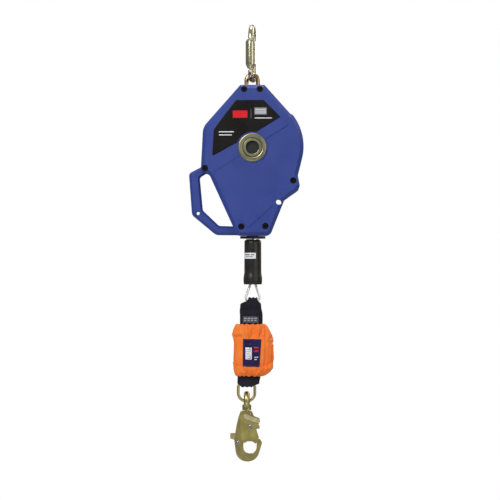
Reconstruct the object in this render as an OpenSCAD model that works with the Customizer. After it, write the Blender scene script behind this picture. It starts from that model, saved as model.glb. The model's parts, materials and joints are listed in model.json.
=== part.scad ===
/* [Overall] */
// Height of the hanging point above the drum axis
hang_h = 232; // [220:1:245]
// Length of lifeline that winds onto the drum
lifeline_len = 6096; // [3000:100:6200]
// Radius of the wire rope
rope_r = 2.4; // [2:0.1:2.4]

/* [Housing] */
// Half of the housing's thickness, from the split line to one face
housing_half = 42; // [42:1:46]
// Radius of the rounded right side, about the drum axis
housing_r = 99.3; // [98.5:0.1:100]
// Width of the sloping border round each face
border_w = 7; // [5:0.5:8]
// Wall thickness of the covers
wall = 4; // [3:0.5:5]
// Half of the carrying handle's depth
handle_half = 16; // [13:1:20]
// Radius of the recesses that hold the cover screws
recess_r = 6.3; // [6:0.1:6.5]
// Radius of the tether hole through the lower right edge
tether_r = 5.5; // [5:0.1:6]
// Radius of the small tag hole in the handle's corner
tag_r = 3.2; // [2.5:0.1:4]

/* [Drum and brake] */
// Radius of the drum's flanges
flange_r = 76; // [72:1:78]
// Radius of the drum's winding core
core_r = 46; // [44:1:46]
// Width between the drum's flanges
core_w = 30; // [30:1:31]
// Radius of the main shaft
shaft_r = 8; // [7:0.5:8]
// Number of ratchet teeth on the brake ring
teeth = 12; // [9:3:15]

/* [Anchor carabiner] */
// Radius of the carabiner's round bar
bar_r = 5; // [4.8:0.1:5]
// Width of the carabiner between bar centres
loop_w = 46; // [44:1:48]
// Turn of the carabiner about the vertical
loop_turn = 8; // [0:0.5:10]

/* [Lifeline end] */
// Sideways place of the cable outlet
outlet_x = 1; // [0:0.5:2]
// Outer radius of the bumper tube
bumper_r = 16.5; // [15:0.5:17]
// Width of the energy absorber's webbing
web_w = 41; // [38:1:42]
// Thickness of the webbing
web_t = 2; // [1.8:0.1:2.2]

/* [Snap hook] */
// Half of the hook body's thickness
hook_half = 7; // [7:0.5:8]
// Radius of the swivel shank
shank_r = 4.5; // [4:0.1:4.5]

/* [Hidden] */
$fn = 64;
run_gap = 0.06;

navy = [0.16, 0.23, 0.53];
zinc = [0.62, 0.61, 0.50];
olive = [0.58, 0.54, 0.32];
steel = [0.66, 0.66, 0.66];
dark = [0.10, 0.09, 0.09];
webbing = [0.12, 0.11, 0.19];
orange = [0.95, 0.45, 0.16];
bronze = [0.66, 0.50, 0.30];

// Outlines of the housing, anticlockwise, as [x, z, corner radius].
arc_top = 38;
arc_bottom = -14;
BODY = [
    [-29.5, -172, 10], [34.5, -172, 12], [62.5, -102.5, 8], [89.5, -83.5, 4], [92.5, -74, 4],
    [88.7, -54.5, 12], arc_corner(housing_r, arc_bottom, arc_top),
    [79, 63.5, 1.5], [73.8, 66, 2], [23.6, 122, 4], [-23.2, 122, 4],
    [-96, 39.7, 30], [-100.5, -46, 8], [-84, -52, 10]
];
HANDLE = [
    [-71, -170.5, 14], [-20, -171, 2], [-48, -60, 2], [-80, -38, 2], [-100, -37.5, 8], [-124, -50, 8],
    [-118, -131.5, 12]
];
HANDLE_OPENING = [
    [-32.5, -153.5, 4], [-81, -51, 5], [-91, -50.5, 5], [-103, -58, 6], [-97, -122, 8], [-65, -152.5, 8]
];
// Areas that stand up from each face: a slanting band under the label, a broad panel, and a foot band
BAND = [[-86, -14, 3], [-74, -47, 1], [70, 44.5, 3], [61, 56, 3], [48, 57, 2]];
PANEL = [
    [-24, -8, 3], [-72, -38, 3], [-70.5, -54, 4], [-35, -136, 4], [-25, -142, 3], [-12, -143, 2],
    [12, -128, 4], [36, -114.5, 2], [44.5, -88, 8], [47, -51, 8], [39, -34, 8], [23.5, -26, 8]
];
FOOT_BAND = [
    [-24, -139.5, 2], [-8.7, -156, 3], [8, -140.7, 6], [37, -115, 4], [43, -108.5, 2], [11, -117, 6]
];
LABEL = [[-78, -17.5, 2], [8.5, 30, 2], [55, 59, 2], [22, 92, 2], [-32, 92, 2], [-68, 45, 8], [-75, 34, 8]];
SCREWS = [[-16, 113.5], [14.5, 113.5], [-92.3, -40.2], [79.5, -64.3], [-21.5, -154], [25.3, -153]];
TETHER = [51.6, -106];
TAG = [-106, -128];
bottom_screws_z = -120;
pad_h = 1.6;
panel_h = 0.8;
boss_r = 30;
label_h = 0.8;
cavity_half = housing_half - wall;
gasket_t = 1.8;

// Drum, wound rope and brake, as distances along the shaft from the split line
wind_r = 51;
rope_turns = round(lifeline_len / (2 * PI * wind_r));
drum_front = -17;
drum_rear = drum_front + core_w;
flange_t = 2.5;
frame_y = 33.5;
frame_t = 3;
ratchet_back = -31.5;
ratchet_rim_r = 70;
tooth_h = 7;
tooth_phase = 19;
pawl_pivot_r = 48;
pawl_y0 = -27.5;
pawl_y1 = -21.5;
case_r = 62;
layer_step = 2 * rope_r + 0.1;
turns_per_layer = 6;
first_turn_r = core_r + rope_r + 0.1;

// Heights on the centre line below the housing
bottom_z = -172;
bumper_top = -180;
bumper_bottom = -267;
lip_r = 18.3;
rope_end = -228;
ferrule_z = -262;
loop_bottom = -298;
loop_bend = 5;
loop_half = 13.8;
leg_top = 3.2;
bag_top = -345;
bag_bottom = -446;
ring_top = -463;
ring_bottom = -496;
ring_x = -11.3;
ring_r = 2.8;
eye_z = -494.4;
hook_x = -10.8;
eye_tube = 6;
eye_mean = 12.4;
eye_hole_r = 6.6;
anchor_z = 132.3;
anchor_mean = 11.2;
anchor_tube = 4.3;
anchor_flat = 117.5;
anchor_base_h = 3.5;
eye_shank_r = 7;
pocket_r = 17;

// Heights on the load frame and the carabiner
frame_top = 104;
bar_low = anchor_z + anchor_mean - anchor_tube - 0.15 - bar_r;
bar_high = hang_h + bar_r;
low_bend = 12;
high_bend = loop_w / 2;
hinge_z = bar_low + low_bend + 3;
latch_z = bar_high - high_bend - 2;
gate_r = bar_r - 0.4;
sleeve_r = 9.8;

function arc_corner(r, a1, a2) =
    [r / cos((a2 - a1) / 2) * cos((a1 + a2) / 2), r / cos((a2 - a1) / 2) * sin((a1 + a2) / 2), r];
function flat2(p) = [p[0], p[1]];
function unit(v) = v / norm(v);
function turn(u) = [-u[1], u[0]];
function wrap(list, i) = list[(i + len(list)) % len(list)];

// One rounded corner as points from tangent to tangent, in n steps
function corner_points(a, p, b, r, n) =
    let (ua = unit(a - p), ub = unit(b - p))
    let (half = acos(ua * ub) / 2)
    let (centre = p + unit(ua + ub) * r / sin(half))
    let (from = p + ua * r / tan(half) - centre, to = p + ub * r / tan(half) - centre)
    let (a0 = atan2(from[1], from[0]), a1 = atan2(to[1], to[0]))
    let (sweep = a1 - a0 > 180 ? a1 - a0 - 360 : a1 - a0 < -180 ? a1 - a0 + 360 : a1 - a0)
    [for (k = [0:n]) centre + r * [cos(a0 + sweep * k / n), sin(a0 + sweep * k / n)]];

// How many steps each corner takes, so that an arc's chords are near 3 mm
function corner_steps(corners) = [for (i = [0:len(corners) - 1])
    let (a = flat2(wrap(corners, i - 1)), p = flat2(corners[i]), b = flat2(wrap(corners, i + 1)))
    let (bend = 180 - acos(unit(a - p) * unit(b - p)))
    max(3, ceil(corners[i][2] * bend * PI / 180 / 3.2))];

function rounded(corners, steps) = [for (i = [0:len(corners) - 1])
    each corner_points(flat2(wrap(corners, i - 1)), flat2(corners[i]), flat2(wrap(corners, i + 1)),
        corners[i][2], steps[i])];

// The same outline moved inwards by d, or outwards when d is negative
function inset(corners, d) = [for (i = [0:len(corners) - 1])
    let (a = flat2(wrap(corners, i - 1)), p = flat2(corners[i]), b = flat2(wrap(corners, i + 1)))
    let (n1 = turn(unit(p - a)), n2 = turn(unit(b - p)))
    let (q = p + (n1 + n2) * d / (1 + n1 * n2))
    let (left = n1 * unit(b - p) > 0)
    [q[0], q[1], max(0.4, corners[i][2] + (left ? -d : d))]];

function mean(list) = [for (i = [1:len(list)]) 1] * list / len(list);

// A solid through matching rings of points, each lying flat at its own height. Its flat ends fan out from
// the ring's middle, so every point of the first and last ring has to be in sight of that middle.
module loft(rings, heights) {
    n = len(rings[0]);
    last = len(rings) - 1;
    rims = [for (k = [0:last], p = rings[k]) [p[0], p[1], heights[k]]];
    middles = [for (k = [0, last]) let (c = mean(rings[k])) [c[0], c[1], heights[k]]];
    low = len(rims);
    faces = [for (i = [0:n - 1]) let (j = (i + 1) % n) each concat(
        [[i, j, low], [last * n + j, last * n + i, low + 1]],
        [for (k = [0:last - 1]) [k * n + i, (k + 1) * n + i, (k + 1) * n + j, k * n + j]]
    )];
    polyhedron(concat(rims, middles), faces, convexity = 6);
}

// A slab of an outline that rises from the split line and ends in a sloping border
module bordered(corners, h, border, slope) {
    steps = corner_steps(corners);
    foot = rounded(corners, steps);
    loft([foot, foot, rounded(inset(corners, border), steps)], [0, h - slope, h]);
}

module outline(corners) { polygon(rounded(corners, corner_steps(corners))); }

// Stands a flat drawing up in the XZ plane, from y0 to y1
module stand(y0, y1) { translate([0, y1, 0]) rotate([90, 0, 0]) linear_extrude(y1 - y0) children(); }

// A round piece along Y at a point of the XZ plane
module rod_y(x, z, r, y0, y1) { translate([x, y1, z]) rotate([90, 0, 0]) cylinder(r = r, h = y1 - y0); }
module ring_y(x, z, r_out, r_in, y0, y1) {
    difference() {
        rod_y(x, z, r_out, y0, y1);
        rod_y(x, z, r_in, y0 - 1, y1 + 1);
    }
}
module each_screw() { for (p = SCREWS) translate([p[0], 0, p[1]]) children(); }
module below_anchor() { translate([0, 0, -hang_h]) children(); }

/* Housing */

// One half of the housing, built in the XY plane and rising along +Z
module shell_solid() {
    bordered(BODY, housing_half, border_w, border_w + 1);
    difference() {
        bordered(HANDLE, handle_half, 5, 5);
        linear_extrude(2 * handle_half, center = true) outline(HANDLE_OPENING);
        steps = corner_steps(HANDLE_OPENING);
        loft([rounded(HANDLE_OPENING, steps), rounded(inset(HANDLE_OPENING, -5), steps)],
            [handle_half - 4, handle_half + 1]);
    }
}

module shell_cavity() {
    intersection() {
        linear_extrude(cavity_half) outline(inset(BODY, wall + 1));
        union() {
            cylinder(r = housing_r - wall - 3, h = 2 * cavity_half, center = true);
            translate([-22, -168, 0]) cube([65, 120, cavity_half]);
            translate([-22, 60, 0]) cube([44, 46, cavity_half]);
        }
    }
}

module face_relief() {
    linear_extrude(pad_h) {
        outline(BAND);
        outline(FOOT_BAND);
        circle(r = boss_r);
    }
    linear_extrude(panel_h) outline(PANEL);
}

// The two lowest screws cross the cavity, so each runs in a column
module screw_columns() {
    for (p = SCREWS) if (p[1] < bottom_screws_z)
        translate([p[0], p[1], 0]) cylinder(r = 7.2, h = cavity_half + 1);
}

module shell() {
    difference() {
        union() {
            difference() {
                union() {
                    shell_solid();
                    translate([0, 0, housing_half]) face_relief();
                }
                shell_cavity();
            }
            screw_columns();
        }
        translate([0, 0, -1]) cylinder(r = 26, h = housing_half + 5);
        translate([TETHER[0], TETHER[1], -1]) cylinder(r = tether_r + 1.4, h = housing_half + 3);
        translate([TAG[0], TAG[1], -1]) cylinder(r = tag_r, h = handle_half + 3);
        translate([TAG[0], TAG[1], handle_half - 1.6]) cylinder(r = tag_r + 2, h = 4);
        rotate([-90, 0, 0]) translate([0, 0, 90]) cylinder(r = 8.6, h = 40);
        rotate([-90, 0, 0]) translate([0, 0, anchor_flat - 0.4]) cylinder(r = pocket_r, h = 20);
        rotate([-90, 0, 0]) translate([outlet_x, 0, -200]) cylinder(r = 11, h = 36);
        translate([0, 0, -1]) linear_extrude(1 + gasket_t / 2 + run_gap) gasket_path();
    }
}

module front_cover() {
    color(navy) difference() {
        rotate([90, 0, 0]) shell();
        each_screw() {
            rod_y(0, 0, recess_r, -housing_half - 5, -housing_half + 9);
            rod_y(0, 0, 2.7, -housing_half - 1, 1);
        }
        stand(-housing_half - 5, -housing_half + label_h) label_outline();
    }
}

module rear_cover() {
    color(navy) difference() {
        mirror([0, 1, 0]) rotate([90, 0, 0]) shell();
        each_screw() rod_y(0, 0, 2.5 + run_gap, -1, 24);
    }
}

module cover_screws() {
    color(dark) each_screw() {
        difference() {
            rod_y(0, 0, 5.8, -housing_half + 3, -housing_half + 8.9);
            translate([0, -housing_half + 6, 0]) rotate([90, 0, 0]) cylinder(r = 2.9, h = 5, $fn = 6);
        }
        rod_y(0, 0, 2.5, -housing_half + 8.9, 20);
    }
}

// The seal's path between the covers, broken at the screws, the swivel and the outlet
module gasket_path() {
    difference() {
        outline(inset(BODY, 2));
        outline(inset(BODY, 3.4));
        square([50, 400], center = true);
        for (p = concat(SCREWS, [TETHER])) translate(p) circle(r = 10);
    }
}

module cover_gasket() { color(dark) stand(-gasket_t / 2, gasket_t / 2) gasket_path(); }

module label_outline() {
    difference() {
        outline(LABEL);
        circle(r = boss_r + 0.4);
    }
}

module label_panel() {
    color(dark) stand(-housing_half - 0.5, -housing_half + label_h - run_gap) label_outline();
}

// Half section of the hub ring: outer land, groove and bright inner lip
module hub_profile() {
    polygon([[13, 0], [19, 0], [19, 2.2], [20.5, 3.2], [26, 3.2], [28, 1.6], [28, 0], [25.7, 0], [25.7, -4],
        [13, -4]]);
}

module hub_ring() {
    face = -housing_half - pad_h;
    color(zinc) {
        translate([0, face, 0]) rotate([90, 0, 0]) rotate_extrude() hub_profile();
        ring_y(0, 0, 17.5, 13, face - 4.6, face);
    }
}

module front_hub_ring() { hub_ring(); }
module rear_hub_ring() { mirror([0, 1, 0]) hub_ring(); }

module shaft_end_caps() {
    color(dark) for (side = [0, 1]) mirror([0, side, 0])
        rod_y(0, 0, 12.9, -cavity_half - 2.8, -cavity_half - 1.6);
}

module tether_grommet() {
    color(dark) translate([TETHER[0], 0, TETHER[1]]) difference() {
        rod_y(0, 0, tether_r + 1.4 - run_gap, -housing_half - 1.2, housing_half + 1.2);
        rod_y(0, 0, tether_r, -housing_half - 5, housing_half + 5);
    }
}

/* Load path and drum */

module frame_strap() {
    translate([-14, 0]) square([28, frame_top]);
    circle(r = 15);
}

module load_frame() {
    color(steel) difference() {
        union() {
            for (side = [0, 1]) mirror([0, side, 0]) stand(-frame_y - frame_t, -frame_y) frame_strap();
            translate([-14, -frame_y - frame_t, frame_top - 6]) cube([28, 2 * (frame_y + frame_t), 6]);
        }
        rod_y(0, 0, shaft_r + run_gap, -60, 60);
        translate([0, 0, 60]) cylinder(r = eye_shank_r + run_gap, h = 60);
    }
}

module main_shaft() {
    color(steel) union() {
        rod_y(0, 0, shaft_r, -frame_y - frame_t - 3, frame_y + frame_t + 3);
        for (side = [0, 1]) mirror([0, side, 0])
            rod_y(0, 0, 12, -frame_y - frame_t - 3, -frame_y - frame_t - run_gap);
    }
}

module shaft_bushings() {
    color(bronze) for (y = [drum_front - flange_t + 0.5, 18]) ring_y(0, 0, 11, shaft_r + run_gap, y, y + 10);
}

module drum() {
    color([0.72, 0.72, 0.74]) difference() {
        union() {
            rod_y(0, 0, core_r, drum_front - flange_t, drum_rear + flange_t);
            rod_y(0, 0, flange_r, drum_front - flange_t, drum_front);
            rod_y(0, 0, flange_r, drum_rear, drum_rear + flange_t);
            rod_y(0, 0, 15, drum_rear, 30);
        }
        rod_y(0, 0, 11 + run_gap, -60, 60);
        for (a = [0:60:300]) rotate([0, a, 0]) rod_y(30, 0, 9, -60, drum_rear + flange_t + 1);
        each_pawl() rod_y(0, 0, 2.5, drum_front - flange_t - 1, drum_front + 0.01);
    }
}

// The rope's turns on the core, laid side by side in layers
module wound_cable() {
    color(steel) for (k = [0:rope_turns - 1]) {
        layer = floor(k / turns_per_layer);
        place = k % turns_per_layer;
        translate([0, drum_front + rope_r + 0.2 + place * layer_step, 0]) rotate([90, 0, 0])
            rotate_extrude($fn = 96)
                translate([first_turn_r + layer * layer_step, 0]) circle(r = rope_r, $fn = 24);
    }
}

// The rope's straight run from the drum's side down to the outlet
module cable_lead() {
    top = [first_turn_r + 4 * layer_step + 2, -20];
    low = [outlet_x, -160];
    lean = atan2(top[0] - low[0], top[1] - low[1]);
    color(steel) translate([low[0], 6, low[1]]) rotate([0, lean, 0])
        cylinder(r = rope_r, h = norm(top - low), $fn = 24);
}

// A flat strip wound from the arbor out to the case
function spiral(r0, r1, turns, n) = [for (k = [0:n])
    let (a = 360 * turns * k / n, r = r0 + (r1 - r0) * k / n) [r * cos(a), r * sin(a)]];
module motor_spring() {
    coils = 7;
    strip = 0.8;
    steps = coils * 24;
    inner = spiral(15.6, case_r - 5.4, coils, steps);
    outer = spiral(15.6 + strip, case_r - 5.4 + strip, coils, steps);
    color([0.35, 0.38, 0.45]) stand(19, 29) polygon(concat(inner, [for (k = [steps:-1:0]) outer[k]]));
}

module spring_case() {
    color([0.22, 0.22, 0.24]) difference() {
        rod_y(0, 0, case_r, 17.5, frame_y - 0.5);
        rod_y(0, 0, case_r - 3, 17, frame_y - 2.5);
        rod_y(0, 0, 15.5, 10, 40);
    }
}

/* Brake */

// Inner outline of the ratchet rim: one steep and one gentle flank to each tooth
steep_share = 0.16;
function ratchet_points() = [for (k = [0:teeth - 1], tip = [0, 1])
    let (a = tooth_phase + 360 / teeth * (k + tip * steep_share), r = ratchet_rim_r - 4 - tip * tooth_h)
    [r * cos(a), -r * sin(a)]];

module brake_ratchet() {
    color(steel) difference() {
        rod_y(0, 0, ratchet_rim_r, ratchet_back, pawl_y1 + 0.5);
        stand(ratchet_back + 2.5, 0) polygon(ratchet_points());
        rod_y(0, 0, shaft_r + run_gap, -60, 60);
    }
}

module brake_friction_discs() {
    color([0.35, 0.25, 0.18]) {
        ring_y(0, 0, 34, 13, ratchet_back - 1.9, ratchet_back - 0.05);
        ring_y(0, 0, 34, 13, ratchet_back + 2.55, ratchet_back + 4);
    }
}

module brake_pressure_plate() {
    color(steel) ring_y(0, 0, 34, shaft_r + run_gap, ratchet_back + 4.05, ratchet_back + 6);
}

module brake_nut() {
    color(steel) difference() {
        translate([0, ratchet_back + 11, 0]) rotate([90, 0, 0]) cylinder(r = 15, h = 4.9, $fn = 6);
        rod_y(0, 0, shaft_r + run_gap, -60, 0);
    }
}

module each_pawl() { for (k = [0:2]) rotate([0, -120 * k, 0]) translate([pawl_pivot_r, 0, 0]) children(); }

// A pawl about its pivot: round boss, heavy tail and a hooked nose that points round the rim
PAWL = [[-3.5, -6, 3], [2.5, -19.5, 1.2], [6, -19, 1.2], [6.5, -4, 3], [5, 5, 2], [-4, 6, 2]];
module pawl() {
    difference() {
        union() {
            stand(pawl_y0, pawl_y1) outline(PAWL);
            rod_y(0, 0, 6, pawl_y0, pawl_y1);
        }
        rod_y(0, 0, 2.5 + run_gap, -60, 0);
    }
}
module placed_pawl(k) {
    color([0.75, 0.72, 0.6]) rotate([0, -120 * k, 0]) translate([pawl_pivot_r, 0, 0]) pawl();
}
module pawl_1() { placed_pawl(0); }
module pawl_2() { placed_pawl(1); }
module pawl_3() { placed_pawl(2); }

module pawl_pins() {
    color(steel) each_pawl() {
        rod_y(0, 0, 2.5, pawl_y0 - 0.3, drum_front);
        ring_y(0, 0, 4, 2.4, pawl_y0 - 1.3, pawl_y0 - 0.3);
        rod_y(0, 0, 2.5, pawl_y0 - 1.3, pawl_y0 - 0.3);
    }
}

module pawl_springs() {
    color(dark) each_pawl() ring_y(0, 0, 4.2, 2.5 + run_gap, pawl_y1 + 0.2, drum_front - flange_t - 0.2);
}

/* Anchorage */

// A stirrup: half a round ring on two straight legs, a round base and the swivel shank
module anchor_eye() {
    color([0.60, 0.45, 0.34]) {
        translate([0, 0, anchor_z]) rotate([90, 0, 0]) rotate_extrude(angle = 180)
            translate([anchor_mean, 0]) circle(r = anchor_tube, $fn = 32);
        for (side = [-1, 1]) translate([side * anchor_mean, 0, anchor_flat + 1])
            cylinder(r = anchor_tube, h = anchor_z - anchor_flat - 1, $fn = 32);
        translate([0, 0, anchor_flat]) cylinder(r = pocket_r - 1.2, h = anchor_base_h);
        translate([0, 0, frame_top - 15]) cylinder(r = eye_shank_r, h = anchor_flat - frame_top + 17);
    }
}
module anchor_thrust_washer() {
    color(bronze) translate([0, 0, frame_top - 8]) difference() {
        cylinder(r = 12, h = 1.9);
        translate([0, 0, -1]) cylinder(r = eye_shank_r + run_gap, h = 5);
    }
}
module anchor_collar() {
    color(steel) translate([0, 0, frame_top - 16]) difference() {
        cylinder(r = 12, h = 7.9);
        translate([0, 0, 1]) cylinder(r = eye_shank_r + run_gap, h = 9);
    }
}

// Carabiner in its own YZ plane: y is the way across the loop, z the height
module across(y, z) { translate([0, y, z]) children(); }
module crossways(r, h) { rotate([90, 0, 90]) cylinder(r = r, h = h, center = true); }
module turned() { rotate([0, 0, -loop_turn]) children(); }
module bend(radius, from, angle) {
    rotate([90, 0, 90]) rotate_extrude(angle = angle, start = from)
        translate([radius, 0]) circle(r = bar_r, $fn = 32);
}
module carabiner_body() {
    straight_z = bar_low + low_bend;
    color(zinc) turned() difference() {
        union() {
            across(high_bend - low_bend, straight_z) bend(low_bend, 270, 90);
            across(low_bend - high_bend, straight_z) bend(low_bend, 180, 90);
            across(low_bend - high_bend, bar_low) rotate([-90, 0, 0])
                cylinder(r = bar_r, h = 2 * (high_bend - low_bend));
            across(0, bar_high - high_bend) bend(high_bend, 0, 180);
            across(high_bend, straight_z) cylinder(r = bar_r, h = bar_high - high_bend - straight_z);
            across(-high_bend, straight_z) cylinder(r = bar_r, h = hinge_z - straight_z + 2.6);
            across(-high_bend, latch_z + 1) cylinder(r = bar_r, h = bar_high - high_bend - latch_z - 1);
        }
        across(-high_bend, hinge_z) crossways(1.5 + run_gap, 30);
        across(-high_bend, hinge_z) translate([-2.2, -9, -4]) cube([4.4, 18, 13]);
    }
}
module carabiner_gate() {
    color(zinc) turned() across(-high_bend, hinge_z) difference() {
        union() {
            translate([0, 0, 5]) cylinder(r = gate_r, h = latch_z - hinge_z - 5);
            translate([-2, -3.5, 0]) cube([4, 7, 8.4]);
            crossways(3.6, 4);
        }
        crossways(1.5 + run_gap, 30);
    }
}
module carabiner_gate_pin() {
    color(steel) turned() across(-high_bend, hinge_z) crossways(1.5, 2 * bar_r - 1);
}
// A round sleeve that tapers down to the bar at both ends
module carabiner_sleeve() {
    sleeve_h = latch_z - hinge_z - 6.5;
    bore = gate_r + run_gap;
    color(zinc) turned() across(-high_bend, hinge_z + 6) rotate_extrude()
        polygon([
            [bore, 0], [6.4, 0], [sleeve_r, 8], [sleeve_r, sleeve_h - 5], [7.2, sleeve_h], [bore, sleeve_h]
        ]);
}

/* Cable outlet and lifeline end */

module on_line(z) { translate([outlet_x, 0, z]) children(); }
module outlet_flange() {
    color(dark) on_line(bottom_z - 5.5) difference() {
        union() {
            cylinder(r = 24.8, h = 5);
            translate([0, 0, 3]) cylinder(r = 11 - run_gap, h = 9);
        }
        translate([0, 0, -1]) cylinder(r = 7, h = 30);
    }
}
module outlet_guide() {
    color(bronze) on_line(bottom_z - 5) difference() {
        cylinder(r = 7 - run_gap, h = 14);
        translate([0, 0, -1]) cylinder(r = rope_r + 0.6, h = 30);
    }
}
module stop_washer() {
    color(steel) on_line(bumper_top + 0.1) difference() {
        cylinder(r = 13, h = 1.9);
        translate([0, 0, -1]) cylinder(r = rope_r + 0.5, h = 30);
    }
}
// Bumper tube with a flared lower lip, bored for the ferrule
module bumper() {
    color(dark) on_line(0) rotate_extrude() polygon([
        [rope_r + 0.5, bumper_top], [bumper_r - 1.5, bumper_top], [bumper_r, bumper_top - 3],
        [bumper_r + 0.2, -244], [lip_r, -254], [lip_r, -262], [lip_r - 1, bumper_bottom],
        [14, bumper_bottom], [8, -250], [8, -222], [rope_r + 0.5, -222]
    ]);
}
module bumper_tag() {
    color("white") on_line(0) rotate_extrude(angle = 100, start = 190) translate([bumper_r + 0.25, -216.6])
        square([0.4, 11.6]);
}
module lifeline() {
    color(steel) on_line(rope_end) cylinder(r = rope_r, h = bottom_z - rope_end + 10, $fn = 24);
}
module lifeline_ferrule() {
    color([0.75, 0.75, 0.77]) on_line(ferrule_z) cylinder(r = 6.2, h = rope_end - ferrule_z - 0.1);
}
// The rope's end turned back on itself: two legs that spread to a flat bottom for the webbing
module lifeline_loop() {
    corner = [loop_half - loop_bend, loop_bottom + loop_bend];
    top = [leg_top, ferrule_z - 1];
    reach = norm(top - corner);
    lean = atan2(corner[0] - top[0], top[1] - corner[1]) + asin(loop_bend / reach);
    leg = sqrt(pow(reach, 2) - pow(loop_bend, 2));
    color(steel) on_line(0) {
        translate([0, 0, loop_bottom]) rotate([0, 90, 0])
            cylinder(r = rope_r, h = 2 * corner[0], center = true, $fn = 24);
        for (side = [0, 1]) mirror([side, 0, 0]) translate([corner[0], 0, corner[1]]) {
            rotate([90, 0, 0]) rotate_extrude(angle = 90 + lean, start = 270)
                translate([loop_bend, 0]) circle(r = rope_r, $fn = 24);
            rotate([0, -lean, 0]) translate([loop_bend, 0, 0]) cylinder(r = rope_r, h = leg, $fn = 24);
        }
    }
}

// A strap loop seen from the side: a narrow fold round a bar, then two full-width plies
module web_side(width) { rotate([90, 0, 90]) linear_extrude(width, center = true) children(); }
module web_loop(width, fold_w, fold_shift, bar_z, r_in, far_z) {
    way = far_z > bar_z ? 1 : -1;
    fold_end = bar_z + way * fold_h;
    color(webbing) {
        translate([fold_shift, 0, 0]) web_side(fold_w) difference() {
            union() {
                translate([0, bar_z]) circle(r = r_in + web_t);
                translate([-r_in - web_t, min(bar_z, fold_end)]) square([2 * (r_in + web_t), fold_h]);
            }
            translate([0, bar_z]) circle(r = r_in);
            translate([-r_in, min(bar_z, fold_end + way)]) square([2 * r_in, fold_h + 1]);
        }
        web_side(width) for (side = [0, 1]) mirror([side, 0])
            translate([r_in, min(fold_end, far_z)]) square([web_t, abs(far_z - fold_end)]);
    }
}
fold_h = 8;
upper_fold_r = 3.4;
upper_web_x = -3.2;
lower_web_x = -8.3;
pack_top = -352;
pack_bottom = -438;
module upper_web_loop() {
    translate([upper_web_x, 0, 0])
        web_loop(web_w, 15, outlet_x - upper_web_x, loop_bottom, upper_fold_r, pack_top + 0.3);
}
module web_patch() {
    color([0.4, 0.4, 0.42]) translate([-18.5, -upper_fold_r - web_t - 0.8, -342.5]) cube([31, 0.7, 12.8]);
}
module tear_web_pack() {
    color(webbing) for (k = [-3:3])
        translate([-20, 2.9 * k - 1.3, pack_bottom]) cube([38, 2.6, pack_top - pack_bottom]);
}
module lower_web_loop() {
    translate([lower_web_x, 0, 0])
        web_loop(web_w - 3, 18, ring_x - lower_web_x, ring_top, ring_r + 0.5, pack_bottom - 0.3);
}

// Soft cover: a front bag with a fuller flap on its right side
module absorber_cover() {
    color(orange) difference() {
        hull() {
            for (x = [-27, 30], z = [bag_bottom + 14, bag_top - 14]) translate([x, 0, z])
                rotate([90, 0, 0]) cylinder(r = x > 0 ? 14 : 12, h = 30, center = true, $fn = 32);
            translate([0, 0, (bag_top + bag_bottom) / 2]) cube([60, 46, 84], center = true);
        }
        translate([-29, -12.5, bag_bottom - 10]) cube([50, 25, 130]);
    }
}
module absorber_label() { color([0.16, 0.14, 0.32]) translate([-18, -24.2, -428]) cube([36, 1, 54]); }

/* Ring and swivel snap hook */

module d_ring() {
    side = 16.2;
    corner = 5;
    leg = ring_top - ring_bottom - side - corner;
    color(olive) translate([ring_x, 0, ring_top]) {
        rotate([0, 90, 0]) cylinder(r = ring_r, h = 2 * (side - corner), center = true);
        for (s = [0, 1]) mirror([s, 0, 0]) {
            translate([side - corner, 0, -corner]) rotate([90, 0, 0]) rotate_extrude(angle = 90)
                translate([corner, 0]) circle(r = ring_r, $fn = 24);
            translate([side, 0, -corner - leg]) cylinder(r = ring_r, h = leg);
        }
        translate([0, 0, -corner - leg]) rotate([90, 0, 0]) rotate_extrude(angle = 180, start = 180)
            translate([side, 0]) circle(r = ring_r, $fn = 24);
    }
}

window_top = -520;
window_low = -529;
module swivel_eye() {
    color(olive) translate([hook_x, 0, 0]) difference() {
        union() {
            translate([0, 0, eye_z]) rotate([90, 0, 90]) rotate_extrude()
                translate([eye_mean, 0]) circle(r = eye_tube, $fn = 32);
            translate([0, 0, -513]) cylinder(r = 8.8, h = 10);
            translate([0, 0, window_low + 2]) cylinder(r = shank_r, h = 20);
            translate([0, 0, window_low + 2]) cylinder(r = 6.6, h = 4.4);
        }
        translate([0, 0, eye_z]) crossways(eye_hole_r, 20);
    }
}
module swivel_washer() {
    color(steel) translate([hook_x, 0, window_top - 1.4]) difference() {
        cylinder(r = 6.6, h = 1.2);
        translate([0, 0, -1]) cylinder(r = shank_r + run_gap, h = 5);
    }
}

HOOK = [
    [-30.1, -613.7, 22.8], [8.1, -613.7, 22.8], [19.2, -577, 3.5], [14.5, -569.5, 2], [9.4, -572, 1.5],
    [7.4, -598.4, 11.6], [-17.2, -598.4, 11.6], [-17.4, -573, 5], [-14, -558, 4], [2, -555, 5], [8, -545, 4],
    [6, -532, 5], [2, -522, 6], [-1.2, -514.6, 3], [-22.6, -514.6, 3], [-27, -526, 10], [-31.6, -547, 20],
    [-35.4, -572, 12]
];
gate_pivot = [-3, -546];
gate_pin_r = 2.5;
lock_pivot = [-27, -577];
lock_pin_r = 2;
module hook_body() {
    color(olive) difference() {
        stand(-hook_half, hook_half) outline(HOOK);
        translate([hook_x - 7.5, -20, window_low]) cube([15, 40, window_top - window_low]);
        translate([hook_x, 0, window_top - 1]) cylinder(r = shank_r + run_gap, h = 20);
        rod_y(gate_pivot[0], gate_pivot[1], gate_pin_r + run_gap, -20, 20);
        rod_y(lock_pivot[0], lock_pivot[1], lock_pin_r + run_gap, -20, 20);
        translate([-50, -2.3, -584]) cube([31.2, 4.6, 32]);
    }
}

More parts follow.
